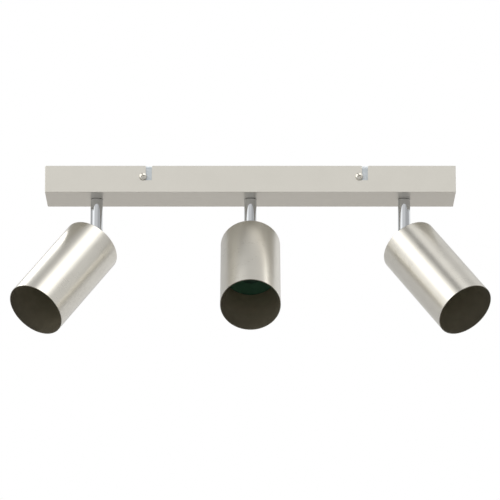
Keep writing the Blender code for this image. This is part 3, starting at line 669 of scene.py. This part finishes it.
def make_knuckle(name, side, up, neck, pocket_radius, matrix, body, node):
    """One half of the knuckle: half a ball, a web and a turned neck, bored for the clamp screw."""
    half = half_ball(name, side, matrix)
    neck_piece = new_piece("neck", revolve("neck", neck, 64), matrix)
    web_size = (STEM_RADIUS * 0.8, STEM_RADIUS * 1.2, 4 * MM)
    web_place = Matrix.Translation((side * STEM_RADIUS * 0.45, 0, up * (KNUCKLE_RADIUS - 1.2 * MM)))
    web = block_cutter(web_size, matrix @ web_place)
    cut(half, [neck_piece, web], "UNION")
    pocket = sorted((side * HINGE_SEAT, side * 20 * MM))
    screw_hole = along_x(matrix, -20 * MM, 20 * MM, HINGE_HOLE_RADIUS)
    cut(half, [screw_hole, along_x(matrix, *pocket, pocket_radius)])
    half.data.materials.clear()
    half.data.materials.append(chrome)
    smooth(half, edge=0.15 * MM, segments=2)
    finish(half, body, node)


def make_knuckles(spot, pivot, head):
    neck_from = KNUCKLE_RADIUS + GAP
    neck_top = KNUCKLE_RADIUS + NECK_TOP
    spigot_top = neck_top + 7 * MM
    spigot = STEM_BORE_RADIUS - GAP
    bore = KNUCKLE_BORE_RADIUS
    upper = [(0, KNUCKLE_RADIUS + MM), (bore, KNUCKLE_RADIUS + MM), (bore, spigot_top), (spigot, spigot_top),
             (spigot, neck_top), (STEM_RADIUS, neck_top), (STEM_RADIUS, neck_from), (0, neck_from)]
    make_knuckle("knuckle_upper_" + spot + "_fine", -1, 1, upper, 4.5 * MM, pivot, "swivel_" + spot,
                 "knuckle_upper_" + spot)
    shoulder = -SHADE_BACK + FINE_GAP
    spigot_end = -SHADE_BACK - 8 * MM
    thread = NIPPLE_RADIUS
    lower = [(0, -neck_from), (STEM_RADIUS, -neck_from), (STEM_RADIUS, shoulder), (thread, shoulder),
             (thread, spigot_end), (bore, spigot_end), (bore, -KNUCKLE_RADIUS - 1.2 * MM),
             (0, -KNUCKLE_RADIUS - 1.2 * MM)]
    make_knuckle("knuckle_lower_" + spot + "_fine", 1, -1, lower, 4.2 * MM, head, "head_" + spot,
                 "knuckle_lower_" + spot)


def make_nut(name, body, node, matrix, flats, height, bore):
    """A hexagon nut with its outer corners chamfered by a turned cone."""
    corner = flats / 2 / math.cos(math.pi / 6)
    count = 48
    outline = []
    for i in range(count):
        angle = math.tau * i / count
        within = (angle + math.pi / 6) % (math.pi / 3) - math.pi / 6
        reach = flats / 2 / math.cos(within)
        turn = angle + math.pi / 6
        outline.append((reach * math.cos(turn), reach * math.sin(turn)))
    turns = [math.tau * i / count + math.pi / 6 for i in range(count)]
    hole = [(bore * math.cos(turn), bore * math.sin(turn)) for turn in turns]
    piece = new_piece(name, extrude_outline(name, outline, -height / 2, height / 2, hole), matrix, zinc)
    slope = 0.35 * (corner - flats / 2)
    half = height / 2
    edge = corner + 0.01 * MM
    cone = [(0, half), (flats / 2, half), (edge, half - slope), (edge, slope - half),
            (flats / 2, -half), (0, -half)]
    envelope = new_piece("cutter", revolve("cutter", cone, 64), matrix)
    cut(piece, [envelope], "INTERSECT")
    smooth(piece, angle=28)
    return finish(piece, body, node)


def make_hinge_fasteners(spot, pivot):
    body = "swivel_" + spot
    to_x = Matrix.Rotation(math.pi / 2, 4, "Y")
    screw_place = pivot @ Matrix.Translation((HINGE_SEAT + FINE_GAP, 0, 0)) @ to_x
    make_screw("hinge_screw_" + spot + "_fine", body, "hinge_screw_" + spot, zinc,
               screw_place, 3.7 * MM, 2.2 * MM, 1.95 * MM, 2 * HINGE_SEAT + 3.1 * MM)
    nut_place = pivot @ Matrix.Translation((-HINGE_SEAT - FINE_GAP - 1.1 * MM, 0, 0)) @ to_x
    make_nut("hinge_nut_" + spot + "_fine", body, "hinge_nut_" + spot, nut_place, 7 * MM, 2.2 * MM, 2.2 * MM)


def make_shade(spot, head):
    """The drawn cup: plated outside, painted black inside."""
    back = -SHADE_BACK
    mouth = back - SHADE_LENGTH
    inner = SHADE_RADIUS - SHADE_WALL
    hole = STEM_BORE_RADIUS
    outline = [(hole, back), (SHADE_RADIUS, back), (SHADE_RADIUS, mouth), (inner, mouth),
               (inner, back - SHADE_WALL), (hole, back - SHADE_WALL)]
    radii = [0.1 * MM, 0.35 * MM, 0.22 * MM, 0.22 * MM, 0.5 * MM, 0.1 * MM]
    name = "shade_" + spot + "_fine"
    piece = new_piece(name, revolve(name, fillet(outline, radii, 6), SHADE_ROUND), head, satin_nickel)
    piece.data.materials.append(black_paint)
    rim_depth = 0.25 * MM
    for face in piece.data.polygons:
        centre = face.center
        distance = math.hypot(centre.x, centre.y)
        lining = distance < inner + 0.05 * MM and centre.z < back - 0.5 * SHADE_WALL
        rim = centre.z < mouth + rim_depth
        face.material_index = 1 if lining or rim else 0
    smooth(piece, angle=40)
    finish(piece, "head_" + spot, "shade_" + spot)


def make_baffle(spot, head):
    """The dark plate across the shade, with its rim against the wall."""
    sheet = BAFFLE_SHEET
    outer = SHADE_RADIUS - SHADE_WALL - GAP
    hole = HOLDER_RADIUS + GAP
    rim = BAFFLE_FRONT + BAFFLE_RIM
    outline = [(outer, rim), (outer, BAFFLE_FRONT), (hole, BAFFLE_FRONT), (hole, BAFFLE_FRONT + sheet),
               (outer - sheet, BAFFLE_FRONT + sheet), (outer - sheet, rim)]
    radii = [0.15 * MM, 1.0 * MM, 0.2 * MM, 0.2 * MM, 0.4 * MM, 0.15 * MM]
    name = "baffle_plate_" + spot + "_fine"
    piece = smooth(new_piece(name, revolve(name, fillet(outline, radii, 5), 128), head, baffle_black))
    finish(piece, "head_" + spot, "baffle_plate_" + spot)


def twist_slot(side, matrix):
    """The cutter for the curved slot that a lamp pin turns into from its round hole."""
    reach = PIN_SPACING / 2
    start = 0 if side > 0 else 180
    outer = arc((0, 0), reach + TWIST_SLOT_HALF, start, start + TWIST_TURN, 10)
    inner = arc((0, 0), reach - TWIST_SLOT_HALF, start + TWIST_TURN, start, 10)
    tip_angle = math.radians(start + TWIST_TURN)
    tip = arc((reach * math.cos(tip_angle), reach * math.sin(tip_angle)), TWIST_SLOT_HALF, start + TWIST_TURN,
              start + TWIST_TURN + 180, 8)[1:-1]
    return new_piece("cutter", extrude_outline("cutter", outer + tip + inner, -2 * MM, 3 * MM), matrix)


def make_lamp_holder(spot, head):
    """The lamp holder, with a round hole and a curved twist slot for each of the lamp's two pins."""
    face = BAFFLE_FRONT - 1.5 * MM
    back = BAFFLE_FRONT + HOLDER_LENGTH
    flange_front = BAFFLE_FRONT + BAFFLE_SHEET + GAP
    flange_back = flange_front + 2 * MM
    neck = HOLDER_RADIUS - 3 * MM
    outline = [(0, back), (neck, back), (neck, flange_back), (HOLDER_FLANGE_RADIUS, flange_back),
               (HOLDER_FLANGE_RADIUS, flange_front), (HOLDER_RADIUS, flange_front),
               (HOLDER_RADIUS, face), (0, face)]
    radii = [0, 0.8 * MM, 0.3 * MM, 0.5 * MM, 0.3 * MM, 0.2 * MM, 1.0 * MM, 0]
    name = "lamp_holder_" + spot + "_fine"
    piece = new_piece(name, revolve(name, fillet(outline, radii, 5)), head, holder_black)
    cutters = []
    for side in (-1, 1):
        place = head @ Matrix.Translation((side * PIN_SPACING / 2, 0, face))
        cutters.append(turned_cutter(PIN_HOLE_RADIUS, -2 * MM, 8 * MM, place, 40))
        cutters.append(twist_slot(side, head @ Matrix.Translation((0, 0, face))))
    cut(piece, cutters)
    smooth(piece, edge=0.2 * MM, segments=2)
    finish(piece, "head_" + spot, "lamp_holder_" + spot)


def make_spot(spot):
    arm, pivot, head = spot_frames(spot)
    make_stem(spot, arm, pivot)
    make_knuckles(spot, pivot, head)
    make_hinge_fasteners(spot, pivot)
    make_shade(spot, head)
    make_baffle(spot, head)
    make_lamp_holder(spot, head)


# ---------------------------------------------------------------- carried-over CAD nodes

def dress_cad_nodes():
    kinds = {
        "terminal_block": polyamide, "terminal_block_screw": zinc, "earth_screw": zinc,
        "earth_lead": earth_insulation,
    }
    for spot in SPOTS:
        kinds["lamp_lead_" + spot] = sleeve
        kinds["head_lead_" + spot] = sleeve
        kinds["holder_bracket_" + spot] = galvanised
        for node in ("stem_nipple_", "spring_washer_", "lock_nut_", "head_nut_"):
            kinds[node + spot] = zinc
    for node, material in kinds.items():
        mesh = NODES[node].data
        mesh.materials.clear()
        mesh.materials.append(material)


# ---------------------------------------------------------------- studio

def direction(azimuth, elevation):
    """A unit vector. Azimuth 0 is the front, -Y, and grows towards +X; elevation is above the horizon."""
    a, e = math.radians(azimuth), math.radians(elevation)
    return (math.sin(a) * math.cos(e), -math.cos(a) * math.cos(e), math.sin(e))


# The studio. Most of these values began as a fit program's result, rounded and thinned out, and were then
# changed by hand against test renders. Each lamp is a round soft box: azimuth, elevation, half-width and
# softness of its edge in degrees, and its brightness. The dark flag has a negative brightness, because it
# takes light away.
LAMPS = {
    "key high on the right": (30, 55, 15, 15, 1.8),
    "side light on the right": (110, 35, 20, 5, 2.5),
    "back light on the left": (-160, 50, 15, 5, 3.0),
    "low strip on the left": (-70, -5, 10, 15, 2.8),
    "side light on the left": (-80, 40, 15, 10, 1.2),
    "front light on the left": (-50, 35, 20, 10, 1.1),
    "dark flag above the front light": (-50, 60, 15, 5, -0.5),
    "low fill in front": (-15, 0, 35, 15, 0.3),
    "low fill at the back": (140, 5, 15, 10, 0.7),
}
DOME_LIGHT = 0.63
HORIZON_LIGHT = 0.1
HORIZON_FROM = 0.05
HORIZON_TO = 0.30
# The floor's half-width, and how far it lies below the bar so that views from below aren't hidden, in metres.
FLOOR_HALF = 60.0
FLOOR_DROP = 4.6


def make_world():
    world = bpy.data.worlds.new("studio")
    world.use_nodes = True
    bpy.context.scene.world = world
    n = Nodes(world.node_tree)
    background = world.node_tree.nodes["Background"]
    way = n.add("ShaderNodeTexCoord").outputs["Generated"]
    height = n.feed(n.add("ShaderNodeSeparateXYZ"), Vector=way).outputs["Z"]
    band = n.feed(n.add("ShaderNodeMapRange", interpolation_type="SMOOTHSTEP"), Value=height,
                  From_Min=HORIZON_FROM, From_Max=HORIZON_TO, To_Min=HORIZON_LIGHT, To_Max=0.0)
    total = n.math("ADD", band.outputs[0], DOME_LIGHT)
    for azimuth, elevation, half_width, softness, strength in LAMPS.values():
        dot = n.add("ShaderNodeVectorMath", operation="DOT_PRODUCT")
        n.link(way, dot.inputs[0])
        dot.inputs[1].default_value = direction(azimuth, elevation)
        edge = n.add("ShaderNodeMapRange", interpolation_type="SMOOTHSTEP")
        n.feed(edge, Value=dot.outputs["Value"], From_Min=math.cos(math.radians(half_width + softness)),
               From_Max=math.cos(math.radians(max(half_width - softness, 0))), To_Min=0.0, To_Max=strength)
        total = n.math("ADD", edge.outputs[0], total)
    seen = n.add("ShaderNodeLightPath").outputs["Is Camera Ray"]
    strength = n.math("MAXIMUM", total, seen)
    n.feed(background, Color=(1, 1, 1, 1), Strength=strength)


def make_floor():
    half = FLOOR_HALF
    drop = FLOOR_DROP
    shape = bmesh.new()
    corners = [(-half, -half), (half, -half), (half, half), (-half, half)]
    shape.faces.new([shape.verts.new((x, y, -drop)) for x, y in corners])
    material, n, shader = new_material("studio_floor")
    cloud = n.noise(n.coordinates((1, 1, 1)), 0.8, 4.0)
    n.feed(shader, Base_Color=n.tint(cloud, (0.44, 0.44, 0.44), (0.46, 0.46, 0.46)), Roughness=0.8)
    new_piece("floor", mesh_from("floor", shape), None, material)


# The camera stands in front of the bar's middle, below it, and looks up. Its values come from a fit to the
# photograph's edges.
CAMERA_LENS = 300.3
CAMERA_DISTANCE = 3.97
CAMERA_DROP = 0.998
CAMERA_LEFT = 0.4 * MM
CAMERA_UP_DEG = 13.057


def make_camera():
    camera = bpy.data.cameras.new("camera")
    camera.sensor_width = 36
    camera.lens = CAMERA_LENS
    camera.clip_end = 200
    eye = bpy.data.objects.new("camera", camera)
    bpy.context.scene.collection.objects.link(eye)
    eye.location = (-CAMERA_LEFT, -CAMERA_DISTANCE, -CAMERA_DROP)
    eye.rotation_euler = (math.radians(90 + CAMERA_UP_DEG), 0, 0)
    bpy.context.scene.camera = eye


make_camera()
make_world()
make_floor()
make_cover()
make_bracket()
make_cover_screws()
make_grommet()
for spot_name in SPOTS:
    make_spot(spot_name)
dress_cad_nodes()

bpy.context.scene.view_settings.view_transform = "Standard"
